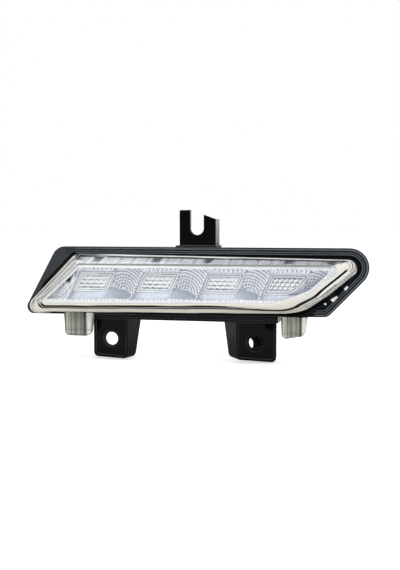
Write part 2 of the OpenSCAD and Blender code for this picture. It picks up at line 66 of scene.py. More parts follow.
# The outlines are in millimetres with the flange's front at y = 0, as in the part's source.
SHIFT = (66.1, -6.5, 40.0)
LENS_DEPTH = 22.0
LENS_WALL = 2.5
SEAT_Y = -2.0
FRONT_Y = -LENS_DEPTH
REFLECTOR_Y = FRONT_Y + LENS_WALL + 1.2
REFLECTOR_EDGE = 2.8
OPTIC_Y = REFLECTOR_Y + 4.0
SEAT = [(-132.5, -22), (72, -19.5), (96.5, -3.5), (111.5, 18.2), (-90, 21)]
SEAT_R = [5.4, 34, 28, 6, 9]
FRONT = [(-115, -15.2), (53, -12), (75, -4.5), (98, 15.5), (-81, 14.4)]
FRONT_R = [4, 26, 26, 3.5, 5]
RIM = [(-131, -22.6), (73, -20.6), (87.5, -20.2), (131.7, 26), (-104.1, 26)]
RIM_R = [5, 20, 6, 13, 10]
CELL_X = [-72.8, -27.5, 17.6, 59.7]
CELL_LOW, CELL_HIGH, LEAN, OPTIC_W = -4.6, 9.3, 0.45, 24.6
FAN_AT = [(-52.0, -3.4), (-8.5, -4.2), (35.5, -5.0), (77.5, -5.0)]
WEB = 1.6
SILL_Y = OPTIC_Y + 3.6
BLOCK_Y = OPTIC_Y + 3.4
RING_PITCH, RING_STEP = 2.1, 0.86
BOWL_Y, FLOOR_Y = -8.2, -17.8
FILLET = 2.4

# The deep hole in the right tab: a point on its axis in metres, and its angles
HOLE_AT, HOLE_TURN, HOLE_FALL = (0.1039, 0.0035, 0.0), 34, 12

CAMERA_AZ, CAMERA_EL, CAMERA_DISTANCE, CAMERA_LENS = 12, 4.5, 0.586, 53.7
LAMP_TARGET = (0.066, 0, 0.04)


def row(p):
    """A drawing point in millimetres as a point of the row frame in metres."""
    return tuple((p[i] + SHIFT[i]) * 0.001 for i in range(3))


# Outlines
def moved_in(pts, d):
    """The corners of a closed outline, moved inwards by d."""
    out = []
    for i, p in enumerate(pts):
        a = np.subtract(p, pts[i - 1])
        b = np.subtract(pts[(i + 1) % len(pts)], p)
        m = np.array([-a[1], a[0]]) / np.hypot(*a)
        n = np.array([-b[1], b[0]]) / np.hypot(*b)
        out.append(np.asarray(p, float) + d * (m + n) / (1 + m @ n))
    return out


def rounded(pts, radii, arc=20, side=16):
    """The corners as arcs, with points along the sides between them."""
    corners = []
    for i, p in enumerate(pts):
        a = np.subtract(pts[i - 1], p)
        b = np.subtract(pts[(i + 1) % len(pts)], p)
        a, b = a / np.hypot(*a), b / np.hypot(*b)
        half = math.acos(float(np.clip(a @ b, -1, 1))) / 2
        mid = (a + b) / np.hypot(*(a + b))
        centre = p + mid * radii[i] / math.sin(half)
        arm = p + a * radii[i] / math.tan(half) - centre
        steps = np.linspace(0, math.pi - 2 * half, arc + 1)
        corners.append([centre + np.array([arm[0] * math.cos(s) - arm[1] * math.sin(s),
                                           arm[0] * math.sin(s) + arm[1] * math.cos(s)])
                        for s in steps])
    out = []
    for i, c in enumerate(corners):
        out += c
        q = corners[(i + 1) % len(corners)][0]
        out += [c[-1] * (1 - t) + q * t for t in np.linspace(0, 1, side + 1)[1:-1]]
    return np.array(out)


def clipped(value):
    return min(max(value, 0.0), 1.0)


def share(y, start=SEAT_Y, end=FRONT_Y):
    """How far y has come from the start to the end, from 0 to 1."""
    return clipped((y - start) / (end - start))


def outline(y, d):
    """The lens outline at depth y, moved in by d."""
    t = share(y)
    pts = [np.array(a) * (1 - t) + np.array(b) * t for a, b in zip(SEAT, FRONT)]
    radii = [max(a * (1 - t) + b * t - d, 1.2) for a, b in zip(SEAT_R, FRONT_R)]
    return rounded(moved_in(pts, d), radii)


def ring(y, d):
    return [(p[0], y, p[1]) for p in outline(y, d)]


def rim(d):
    """The flange's outline, moved in by d."""
    return rounded(moved_in(RIM, d), [max(r - d, 1.2) for r in RIM_R], 16, 24)


# Mesh helpers
def mark(mesh, key, values):
    """Gives each vertex a value that the materials read."""
    layer = mesh.attributes.new(key, "FLOAT", "POINT")
    layer.data.foreach_set("value", np.asarray(values, np.float32))


def make(name, verts, faces, mat, sharp=35, **marks):
    """A mesh piece that rides on the lamp, from points in drawing millimetres."""
    mesh = bpy.data.meshes.new(name)
    mesh.from_pydata([row(v) for v in verts], [], faces)
    for key, values in marks.items():
        mark(mesh, key, values)
    mesh.shade_smooth()
    mesh.set_sharp_from_angle(angle=math.radians(sharp))
    mesh.materials.append(mat)
    obj = bpy.data.objects.new(name, mesh)
    bpy.context.scene.collection.objects.link(obj)
    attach(obj, "root")
    return obj


def joined(n, count):
    """Faces that join each ring of n points to the next."""
    return [(k * n + i, (k + 1) * n + i, (k + 1) * n + (i + 1) % n, k * n + (i + 1) % n)
            for k in range(count - 1) for i in range(n)]


def skin(rings):
    """A closed body over rings of points, with flat ends."""
    n, last = len(rings[0]), (len(rings) - 1) * len(rings[0])
    verts = [p for r in rings for p in r]
    ends = [tuple(range(n)), tuple(last + i for i in range(n - 1, -1, -1))]
    return verts, joined(n, len(rings)) + ends


def solid(name, profile, y0, y1, mat, edge, cuts=()):
    """A prism of an x, z profile with rounded edges, less its cuts."""
    obj = make(name, *prism(profile, y0, y1), mat)
    for k, (shape, c0, c1) in enumerate(cuts):
        tool = make(name + "_cut" + str(k), *prism(shape, c0, c1), mat)
        mod = obj.modifiers.new("cut", "BOOLEAN")
        mod.operation = "DIFFERENCE"
        mod.solver = "EXACT"
        mod.object = tool
        bake(obj)
        bpy.data.objects.remove(tool)
    mod = obj.modifiers.new("round", "BEVEL")
    mod.width = edge * 0.001
    mod.segments = 3
    mod.limit_method = "ANGLE"
    mod.angle_limit = math.radians(40)
    bake(obj)
    obj.data.shade_smooth()
    obj.data.set_sharp_from_angle(angle=math.radians(45))
    return obj


def prism(profile, y0, y1):
    """The points and faces of an x, z profile drawn out from y0 to y1."""
    n = len(profile)
    verts = [(p[0], y0, p[1]) for p in profile] + [(p[0], y1, p[1]) for p in profile]
    faces = [tuple(range(n)), tuple(range(2 * n - 1, n - 1, -1))]
    faces += [(i, n + i, n + (i + 1) % n, (i + 1) % n) for i in range(n)]
    return verts, faces


def bake(obj):
    """Keeps the result of the modifiers as the mesh."""
    graph = bpy.context.evaluated_depsgraph_get()
    graph.update()
    done = bpy.data.meshes.new_from_object(obj.evaluated_get(graph))
    obj.modifiers.clear()
    obj.data = done


# Materials
def material(name, base, rough, metallic=0.0, specular=0.5):
    """A new material with its node tree and its shader."""
    mat = bpy.data.materials.new(name)
    mat.use_nodes = True
    nt = mat.node_tree
    b = nt.nodes["Principled BSDF"]
    b.inputs["Base Color"].default_value = (*base, 1)
    b.inputs["Roughness"].default_value = rough
    b.inputs["Metallic"].default_value = metallic
    b.inputs["Specular IOR Level"].default_value = specular
    return mat, nt, b


def node(nt, kind, **values):
    """A new node, with values for its sockets and its settings."""
    n = nt.nodes.new("ShaderNode" + kind)
    for key, value in values.items():
        if key in n.inputs:
            n.inputs[key].default_value = value
        else:
            setattr(n, key, value)
    return n


def feed(nt, socket, value):
    """Links a socket to its source, or sets its number, vector or colour."""
    if isinstance(value, bpy.types.NodeSocket):
        nt.links.new(value, socket)
    else:
        socket.default_value = value


def marked(nt, key):
    """The value that the mesh holds for each vertex under this key."""
    return node(nt, "Attribute", attribute_name=key).outputs["Fac"]


def parted(nt, source):
    """The x, y and z of a vector."""
    n = node(nt, "SeparateXYZ")
    nt.links.new(source, n.inputs[0])
    return tuple(n.outputs)


def noise(nt, scale):
    place = node(nt, "TexCoord")
    tex = node(nt, "TexNoise", Scale=scale, Detail=3.0)
    nt.links.new(place.outputs["Object"], tex.inputs["Vector"])
    return tex.outputs["Fac"]


def stops(nt, source, points):
    """Colours along the source's value, from pairs of place and colour."""
    r = node(nt, "ValToRGB")
    elements = r.color_ramp.elements
    while len(elements) < len(points):
        elements.new(0.5)
    for element, (at, colour) in zip(elements, points):
        element.position, element.color = at, (*colour, 1)
    nt.links.new(source, r.inputs[0])
    return r.outputs[0]


def ramp(nt, source, low, high, at=(0.3, 0.7), middle=None):
    """Colours from low to high, by way of the middle one where there is one."""
    points = [(at[0], low), (at[1], high)]
    if middle is not None:
        points.insert(1, (0.74, middle))
    return stops(nt, source, points)


def ranged(nt, source, low, high, start=0.0, end=1.0, **values):
    """Turns the source's start to end into low to high."""
    m = node(nt, "MapRange", **values)
    for key, value in (("From Min", start), ("From Max", end), ("To Min", low), ("To Max", high)):
        m.inputs[key].default_value = value
    nt.links.new(source, m.inputs["Value"])
    return m.outputs["Result"]


def step(nt, source, edge, width, flip=False):
    """0 below the edge and 1 above it, or the other way round."""
    return ranged(nt, source, float(flip), float(not flip), edge - width, edge + width)


def combined(nt, kind, *values, family="Math"):
    """A maths node over links, numbers and vectors."""
    m = node(nt, family, operation=kind)
    for socket, value in zip(m.inputs, values):
        feed(nt, socket, value)
    return m.outputs["Value" if kind in ("LENGTH", "DOT_PRODUCT") else 0]


def product(nt, first, *others):
    for other in others:
        first = combined(nt, "MULTIPLY", first, other)
    return first


def mixed(nt, factor, low, high, blend="MIX"):
    """One colour turned into the other; each is a tuple or a link."""
    m = node(nt, "Mix", data_type="RGBA", blend_type=blend)
    feed(nt, m.inputs["Factor"], factor)
    for socket, value in ((m.inputs[6], low), (m.inputs[7], high)):
        feed(nt, socket, (*value, 1) if isinstance(value, tuple) else value)
    return m.outputs[2]


def blended(nt, factor, first, second):
    """One shader turned into the other."""
    m = node(nt, "MixShader")
    for socket, source in zip(m.inputs, (factor, first, second)):
        nt.links.new(source, socket)
    return m.outputs[0]


def bumped(nt, b, source, distance, strength=0.4, under=None):
    n = node(nt, "Bump", Strength=strength, Distance=distance)
    nt.links.new(source, n.inputs["Height"])
    if under is not None:
        nt.links.new(under, n.inputs["Normal"])
    nt.links.new(n.outputs[0], b.inputs["Normal"])


def plain(name, low, high, rough, scale=400, metallic=0.0):
    """Moulded or metal finish with a little mottling in colour, gloss and surface."""
    mat, nt, b = material(name, high, rough, metallic)
    f = noise(nt, scale)
    nt.links.new(ramp(nt, f, low, high), b.inputs["Base Color"])
    nt.links.new(ranged(nt, f, rough * 0.8, rough * 1.25), b.inputs["Roughness"])
    bumped(nt, b, f, 0.00003)
    return mat


def housing_black():
    """Gloss black moulding: dull slate at the flange's left end, satin behind, painted highlights on the
    edges and a painted reflection on the bracket's pad.
    """
    mat, nt, b = material("housing_black", (0.004, 0.005, 0.006), 0.13, specular=0.11)
    place = node(nt, "TexCoord")
    x, y, z = parted(nt, place.outputs["Object"])
    dull = product(nt, step(nt, x, 0.0201, 0.0004, True), step(nt, y, -0.0063, 0.0001, True),
                   step(nt, z, 0.0165, 0.0004))
    tone = mixed(nt, dull, (0.0018, 0.0021, 0.0026), (0.045, 0.05, 0.056))
    rear = product(nt, step(nt, y, 0.0005, 0.0003), step(nt, z, 0.0125, 0.0003),
                   step(nt, z, 0.0672, 0.0003, True))
    tone = mixed(nt, rear, tone, (0.012, 0.013, 0.0145))
    # the deep hole is dull inside
    turn, fall = math.radians(HOLE_TURN), math.radians(HOLE_FALL)
    axis = (math.sin(turn) * math.cos(fall), -math.cos(turn) * math.cos(fall), math.sin(fall))
    away = combined(nt, "SUBTRACT", place.outputs["Object"], HOLE_AT, family="VectorMath")
    off_axis = combined(nt, "CROSS_PRODUCT", away, axis, family="VectorMath")
    hole = step(nt, combined(nt, "LENGTH", off_axis, family="VectorMath"), 0.0062, 0.0002, True)
    satin = combined(nt, "MULTIPLY_ADD", rear, 0.25, ranged(nt, hole, 0.12, 0.9))
    rough = combined(nt, "MAXIMUM", ranged(nt, dull, 0.12, 0.55), satin)
    nt.links.new(rough, b.inputs["Roughness"])
    # painted highlight: the edges are lightened in the base colour, where they would catch a little light
    edge = node(nt, "Bevel", Radius=0.0006, samples=6)
    shape = node(nt, "NewGeometry")
    flat = combined(nt, "DOT_PRODUCT", edge.outputs[0], shape.outputs["Normal"], family="VectorMath")
    tone = mixed(nt, step(nt, flat, 0.93, 0.05, True), tone, (0.085, 0.092, 0.10))
    # painted reflection: the side of the bracket's pad that faces +x is lightened, standing in for its
    # grazing reflection
    facing = parted(nt, place.outputs["Normal"])
    pad_reflection = product(nt, step(nt, facing[0], 0.6, 0.1), step(nt, z, 0.0685, 0.0003))
    nt.links.new(mixed(nt, pad_reflection, tone, (0.30, 0.30, 0.275)), b.inputs["Base Color"])
    bumped(nt, b, noise(nt, 900), 0.00002, 0.3, edge.outputs[0])
    return mat


def toned(nt, b, dark, light, warm, mottle, middle=None):
    """Colour from dark to light by the shade mark, turned to the warm colour by the warm mark."""
    shade, tint, f = marked(nt, "shade"), marked(nt, "warm"), noise(nt, 150)
    tone = combined(nt, "MULTIPLY_ADD", f, mottle, shade)
    base = ramp(nt, tone, dark, light, (0.05, 1.06), middle)
    warmed = mixed(nt, tint, base, warm, "MULTIPLY")
    nt.links.new(mixed(nt, tint, base, warmed), b.inputs["Base Color"])
    return f


def clear(name, tint):
    """Clear moulding that lets the lamps through, with reflections painted opaquely over it where its
    mesh marks say so.
    """
    mat, nt, b = material(name, tint, 0.02)
    b.inputs["IOR"].default_value = 1.13
    b.inputs["Transmission Weight"].default_value = 1.0
    b.inputs["Coat Weight"].default_value = 0.45
    bumped(nt, b, noise(nt, 60), 0.00006, 0.12)
    # painted reflections: an opaque coat whose colour paints the bands that the glass would show
    reflection_paint = node(nt, "BsdfPrincipled", Roughness=0.3)
    reflection_paint.inputs["Specular IOR Level"].default_value = 0.0
    toned(nt, reflection_paint, (0.004, 0.004, 0.005), (0.93, 0.93, 0.93), (0.98, 0.93, 0.81), 0.05)
    body = blended(nt, marked(nt, "frost"), b.outputs[0], reflection_paint.outputs[0])
    light = node(nt, "LightPath")
    unseen = combined(nt, "MAXIMUM", light.outputs["Is Shadow Ray"], light.outputs["Is Diffuse Ray"])
    through = node(nt, "BsdfTransparent", Color=(0.97, 0.98, 0.98, 1))
    skin_of_glass = blended(nt, unseen, body, through.outputs[0])
    nt.links.new(skin_of_glass, nt.nodes["Material Output"].inputs["Surface"])
    return mat


def shaded(name, dark, light, rough, metallic, specular, middle):
    """Bright coat with painted shade in the grooves and painted highlights on the ridges, as the mesh
    marks them with its shade.
    """
    mat, nt, b = material(name, light, rough, metallic, specular)
    f = toned(nt, b, dark, light, (0.98, 0.95, 0.87), 0.10, middle)
    nt.links.new(ranged(nt, f, rough * 0.8, rough * 1.2), b.inputs["Roughness"])
    bumped(nt, b, noise(nt, 1500), 0.00002, 0.3)
    return mat


def streaked(name, dark, light, share_clear, columns=()):
    """Clear moulding seen edge on: upright streaks of painted reflection, partly see-through."""
    mat, nt, b = material(name, light, 0.12)
    b.inputs["Coat Weight"].default_value = 0.5
    place = node(nt, "TexCoord")
    stretch = node(nt, "Mapping", Scale=(1.0, 1.0, 0.06))
    nt.links.new(place.outputs["Object"], stretch.inputs["Vector"])
    tex = node(nt, "TexNoise", Scale=420.0, Detail=2.0)
    nt.links.new(stretch.outputs[0], tex.inputs["Vector"])
    grain = tex.outputs["Fac"]
    colour = ramp(nt, grain, dark, light, (0.25, 0.6))
    if columns:
        bars = [(at, (value, value * 0.985, value * 0.92)) for at, value in columns]
        foot = [(at, (value, value, value)) for at, value in LUG_FOOT]
        for key, points in (("across", bars), ("rise", foot)):
            colour = mixed(nt, 1.0, colour, stops(nt, marked(nt, key), points), "MULTIPLY")
    nt.links.new(colour, b.inputs["Base Color"])
    bumped(nt, b, grain, 0.0001, 0.4)
    through = node(nt, "BsdfTransparent", Color=(0.93, 0.92, 0.89, 1))
    seen = blended(nt, ranged(nt, grain, share_clear * 0.6, share_clear * 1.4), b.outputs[0],
                   through.outputs[0])
    nt.links.new(seen, nt.nodes["Material Output"].inputs["Surface"])
    return mat


def lined(name, dark, light):
    """Gloss black moulding with painted highlights, slate in colour, along the tops of its mouldings."""
    mat, nt, b = material(name, dark, 0.2, specular=0.16)
    f = noise(nt, 700)
    nt.links.new(ramp(nt, marked(nt, "shade"), dark, light, (0.05, 1.0)), b.inputs["Base Color"])
    nt.links.new(ranged(nt, f, 0.14, 0.26), b.inputs["Roughness"])
    bumped(nt, b, f, 0.00002, 0.3)
    return mat


BLACK = housing_black()
LINED = lined("rim_black", (0.002, 0.0024, 0.003), (0.145, 0.165, 0.19))
CLEAR = clear("lens_clear", (0.99, 0.99, 0.985))
# painted light: the pegs' finish is opaque and near white, standing in for light through their clear
# plastic
PEG = streaked("peg_clear", (0.80, 0.80, 0.78), (0.95, 0.95, 0.93), 0.0)
# Painted reflection streaks of a lug from left to right, and painted light and shade along its foot from
# below, as pairs of place and brightness
COLUMNS = ((0.0, 0.08), (0.06, 0.14), (0.10, 0.72), (0.22, 0.62), (0.25, 0.07), (0.28, 0.42),
           (0.40, 0.28), (0.52, 0.45), (0.60, 0.24), (0.66, 0.42), (0.71, 0.05), (0.77, 0.05),
           (0.81, 0.95), (0.97, 0.9))
LUG_FOOT = ((0.0, 0.35), (0.10, 0.9), (0.17, 1.25), (0.22, 0.75), (0.40, 1.0))
LUG = streaked("lug_clear", (0.50, 0.49, 0.45), (0.95, 0.94, 0.88), 0.05, COLUMNS)
BRIGHT = shaded("reflector_coat", (0.05, 0.055, 0.07), (0.96, 0.97, 1.0), 0.3, 0.1, 0.4,
                (0.56, 0.60, 0.71))
OPTIC = shaded("optic_clear", (0.03, 0.033, 0.04), (0.95, 0.96, 0.98), 0.12, 0.05, 0.4,
               (0.56, 0.60, 0.68))


# Reflector
def wall(value, edge, width=0.35):
    """Goes from 0 to 1 where value passes edge."""
    t = np.clip((value - edge) / width + 0.5, 0, 1)
    return t * t * (3 - 2 * t)


def cell_left(i):
    return CELL_X[i] - OPTIC_W / 2


def cell_right(i):
    """Where a cell's bowl ends; the last one runs on under the lens edge."""
    return cell_left(i + 1) - WEB if i < 3 else cell_left(i) + 60


def fan(x, z, i):
    """Depth and shade of the ringed bowl beside an optic, over its sloping floor."""
    start = cell_left(i) + OPTIC_W
    u = x - z * LEAN

    def bowl(z):
        k = np.maximum((np.hypot(x - FAN_AT[i][0], z - FAN_AT[i][1]) - 1) / RING_PITCH, 0)
        part = k - np.floor(k)
        tread = np.where(part < 0.7, 0.35 * part / 0.7, 0.35 + 0.65 * (part - 0.7) / 0.3)
        return BOWL_Y - RING_STEP * (np.floor(k) + tread), part

    depth, part = bowl(z)
    # bricks at the left, arcs at the right
    brick = wall(start + 9.5 + 0.5 * z - u, 0.0, 3.0) * wall(7.5 - z, 0.0, 3.0)
    line = np.mod(u + 0.12 * z - start, 1.9) / 1.9
    stroke = (line > 0.5) * (part > 0.35)
    # painted shade on the rings' risers and in the bricks' strokes
    tone = 1.0 - 0.10 * part - (1 - brick) * (part > 0.66) * 0.52
    tone = tone - brick * (0.05 + 0.44 * stroke)
    depth = depth + brick * 0.3 * stroke
    # floor under the bowl
    edge = np.interp(x - start + 0.6, [0, 10.4, 15.4, 19.3, 24], [-1.4, -3.3, -6.0, -9.4, -13])
    low = z < edge
    floor = np.maximum(bowl(edge)[0] - np.maximum(edge - z, 0) / 0.62, FLOOR_Y)
    t = np.clip((u - start) / 12.0, 0, 1)
    grain = 0.05 * np.sin((x - z * 0.8) * 5.2) + 0.03 * np.sin((x + z) * 3.1)
    tone = np.where(low, 0.68 - 0.17 * t + grain, tone)
    tone = np.where((np.abs(z - edge) < 0.34) & (x - start > 4), 1.06, tone)
    return np.where(low, floor, depth), tone


def land_low(x):
    """Height where the cells end above the lower land."""
    return -9.9 + (x + 110) * 0.0115


def pillows(x, z, u, left, middle, y, tone):
    """Adds the row of pillows over an optic and the strokes under it, with painted highlights on the
    pillows and painted shade between them and in the strokes.
    """
    s = np.abs(np.sin(math.pi * (x - left - 5.6) / 3.05))
    over = (u > left + 0.5) & (u < middle + 1.0)
    band = over * wall(z, CELL_HIGH + 1.4, 0.5) * wall(-z, -(CELL_HIGH + 3.6), 0.5)
    y = y - 0.6 * band * s
    dots = band * (s < 0.42) * (np.abs(z - CELL_HIGH - 2.7) < 0.65)
    tone = tone + band * (0.14 * s - 0.10) - 0.62 * dots
    strokes = over * (z > CELL_HIGH + 0.3) * (z < CELL_HIGH + 1.7)
    return y, tone - strokes * 0.30 * (np.mod(x + 0.8 * z, 1.9) < 0.8)


def end_pocket(x, z, u, y, tone):
    """Adds the faceted pocket at the low end, with painted shade on its facets and in its oval hollow,
    and painted highlights in its white curves and sparkle.
    """
    reach = cell_left(0) - 1.4
    pocket = wall(-u, -reach) * wall(z - land_low(x), 0.3) * wall(-z, -10.2)
    near = reach - u
    y = y + pocket * np.clip(0.32 * near, 0, 3.2)
    crease = z - (5.5 - 0.9 * (near - 1.0))
    grey = np.where(crease > 0, 0.58, 0.76) + 0.07 * np.sin(x * 2.3) + 0.06 * np.sin(z * 3.1 + x)
    tone = np.where(pocket > 0.5, grey, tone)
    oval = np.clip(1.4 - ((x + 89.6) / 2.0) ** 2 - ((z - 4.4) / 2.6) ** 2, 0, 1)
    y = y + 2.5 * oval * pocket
    tone = tone - 0.62 * oval * pocket
    for shift, gain in ((0.9, 0.6), (3.4, 0.45)):
        bend = near - shift - 0.05 * (z - 3) ** 2
        curve = np.exp(-(bend / 0.75) ** 2) - 1.1 * np.exp(-((bend + 1.3) / 0.4) ** 2)
        tone = tone + gain * pocket * curve
    leg = (x + 92.5) + 0.75 * (z - 2.0)
    tone = tone + 0.5 * pocket * np.exp(-(leg / 0.7) ** 2) * (z < 3.0) * (z > -5.5)
    corner = (u < reach + 5.0) & (z > 4.6) & (u > reach - 3.0)
    tone = tone - 0.42 * corner * (np.mod(x + 1.1 * z, 2.5) < 0.9)
    sparkle = pocket * (np.sin(x * 3.7 + z * 1.3) * np.sin(z * 4.1 - x * 0.9) > 0.72)
    return y, tone + 0.3 * sparkle * (z < 0)


def reflector_height(x, z):
    """Depth in drawing y, shade and warmth for each point of the reflector's face."""
    u = x - z * LEAN
    y = np.full_like(x, REFLECTOR_Y)
    tone = np.full_like(x, 0.90)
    warm = 0.75 * wall(-z, 8.6, 0.6) * (z < 0)
    # painted highlight and shade of the flutes along the top
    tone = tone + wall(z, 10.2) * (0.14 - 0.40 * (np.mod(x - 0.8 * z + 0.5 * np.sin(x * 0.9), 2.1) < 0.7))
    for i in range(4):
        left, right = cell_left(i), cell_right(i)
        middle = left + OPTIC_W
        bottom = wall(z - land_low(x), 0)
        # sill in front of the optic
        inside = wall(u, left - 0.4) * wall(-u, -(middle + 0.6)) * wall(-z, -(CELL_HIGH + 0.2)) * bottom
        sill = np.minimum(-17.6 + (z + 12) * 0.471, SILL_Y)
        sill = np.where(z > CELL_LOW, SILL_Y, sill)
        y = y * (1 - inside) + sill * inside
        flat = 0.67 + 0.04 * np.sin((x + z) * 4.3) + 0.02 * (z + 8)
        tone = np.where(inside > 0.5, flat, tone)
        warm = warm * (1 - inside)
        # bowl beside it
        inside = wall(u, middle) * wall(-u, -right) * bottom
        depth, shade = fan(x, z, i)
        y = y * (1 - inside) + depth * inside
        tone = np.where(inside >= 0.97, shade, np.where(inside > 0.03, 0.95, tone))
        warm = warm * (1 - inside)
        # web between this cell and the next
        web = wall(u, right) * wall(-u, -(right + WEB)) * (i < 3)
        notch = np.mod(z + 0.3 * np.sin(z * 1.7), 1.9) < 0.55
        tone = np.where((web > 0.5) & (z > land_low(x)), np.where(notch, 0.5, 1.02), tone)
        y, tone = pillows(x, z, u, left, middle, y, tone)
    # bright beads along the lower land
    bead = np.exp(-((z - land_low(x) + 0.5) / 0.4) ** 2)
    tone = tone + bead * np.where(np.mod(x + 0.9 * np.sin(x * 0.5), 3.1) < 1.7, 0.12, -0.22)
    rng = np.random.default_rng(7)
    speck = rng.standard_normal(x.shape)
    speck = speck + np.roll(speck, 1, 0) + np.roll(speck, 1, 1) + np.roll(speck, (1, 1), (0, 1))
    tone = tone + 0.022 * speck * (z > land_low(x))
    y, tone = end_pocket(x, z, u, y, tone)
    return y, tone, warm


def inside_outline(px, pz, poly):
    """Marks the points inside a closed polygon."""
    hit = np.zeros(px.shape, bool)
    a, b = poly, np.roll(poly, -1, axis=0)
    for (x1, z1), (x2, z2) in zip(a, b):
        if z1 == z2:
            continue
        cross = ((z1 > pz) != (z2 > pz)) & (px < (x2 - x1) * (pz - z1) / (z2 - z1) + x1)
        hit ^= cross
    return hit


def sheet(name, x, z, y, tone, warm, keep, mat, sharp=40):
    """A height field piece from matching grids of points."""
    rows, cols = x.shape
    index = np.full(x.shape, -1)
    quad = keep[:-1, :-1] & keep[1:, :-1] & keep[1:, 1:] & keep[:-1, 1:]
    used = np.zeros(x.shape, bool)
    for dr in (0, 1):
        for dc in (0, 1):
            used[dr:rows - 1 + dr, dc:cols - 1 + dc] |= quad
    index[used] = np.arange(used.sum())
    verts = np.stack([x[used], y[used], z[used]], axis=1)
    r, c = np.nonzero(quad)
    faces = np.stack([index[r, c], index[r, c + 1], index[r + 1, c + 1], index[r + 1, c]], axis=1)
    return make(name, verts.tolist(), faces.tolist(), mat, sharp, shade=tone[used], warm=warm[used])


def reflector_face():
    """The reflector's whole front as one fine height field."""
    grain = 0.28
    u = np.arange(-118, 96, grain)
    z = np.arange(-13.8, 14.6, grain)
    uu, zz = np.meshgrid(u, z)
    xx = uu + zz * LEAN
    y, tone, warm = reflector_height(xx, zz)
    keep = inside_outline(xx, zz, outline(REFLECTOR_Y, REFLECTOR_EDGE + 0.4))
    face = sheet("reflector_face", xx, zz, y, tone, warm, keep, BRIGHT)
    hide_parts("reflector")


def reflector_rim():
    """Smooth land round the face and the fluted flanks behind it, with painted highlight and shade along
    the flutes.
    """
    levels = np.linspace(REFLECTOR_Y + 0.6, SEAT_Y - 1, 16)
    rings = [ring(REFLECTOR_Y - 0.02, REFLECTOR_EDGE + 1.2),
             ring(REFLECTOR_Y - 0.1, REFLECTOR_EDGE + 0.6),
             ring(REFLECTOR_Y, REFLECTOR_EDGE + 0.2)]
    rings += [ring(y, REFLECTOR_EDGE) for y in levels]
    fine = [subdivided(r, 0.62) for r in rings]
    verts, shade, warm = [], [], []
    for k, r in enumerate(fine):
        for p in r:
            top = p[2] > 9 and -95 < p[0] < 98
            flute = math.sin(p[0] * math.pi / 1.05) if top and k > 2 else 0.0
            if flute:
                flute = 0.55 * flute + 0.3 * math.sin(p[0] * 1.31 + 1) + 0.3 * math.sin(p[0] * 0.73)
            dark = 0.0
            if top and k > 2:
                for spot in (-71.5, -29.5, 7.2, 61.8, 89.6):
                    near = max(0.0, 1 - ((p[0] - spot) / 4.0) ** 2)
                    dark = max(dark, near * min(1.0, max(0.0, (p[1] - REFLECTOR_Y - 6) / 4)))
            verts.append((p[0], p[1], p[2] + 0.2 * flute - 0.8 * dark))
            shade.append((0.82 + 0.34 * flute if top else 0.88) - 0.85 * dark)
            warm.append(0.0 if top or p[0] > 60 and p[2] > -4 else 0.7)
    faces = joined(len(fine[0]), len(fine))
    rim = make("reflector_rim", verts, faces, BRIGHT, 60, shade=shade, warm=warm)
    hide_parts("reflector")


def subdivided(points, length):
    """More points along the long sides, the same number in every ring."""
    out = []
    base = ring(SEAT_Y, 0)
    for i, p in enumerate(points):
        q = points[(i + 1) % len(points)]
        span = math.dist(base[i], base[(i + 1) % len(base)])
        parts = max(1, round(span / length * 2.4))
        out += [tuple(p[c] + (q[c] - p[c]) * s / parts for c in range(3)) for s in range(parts)]
    return out


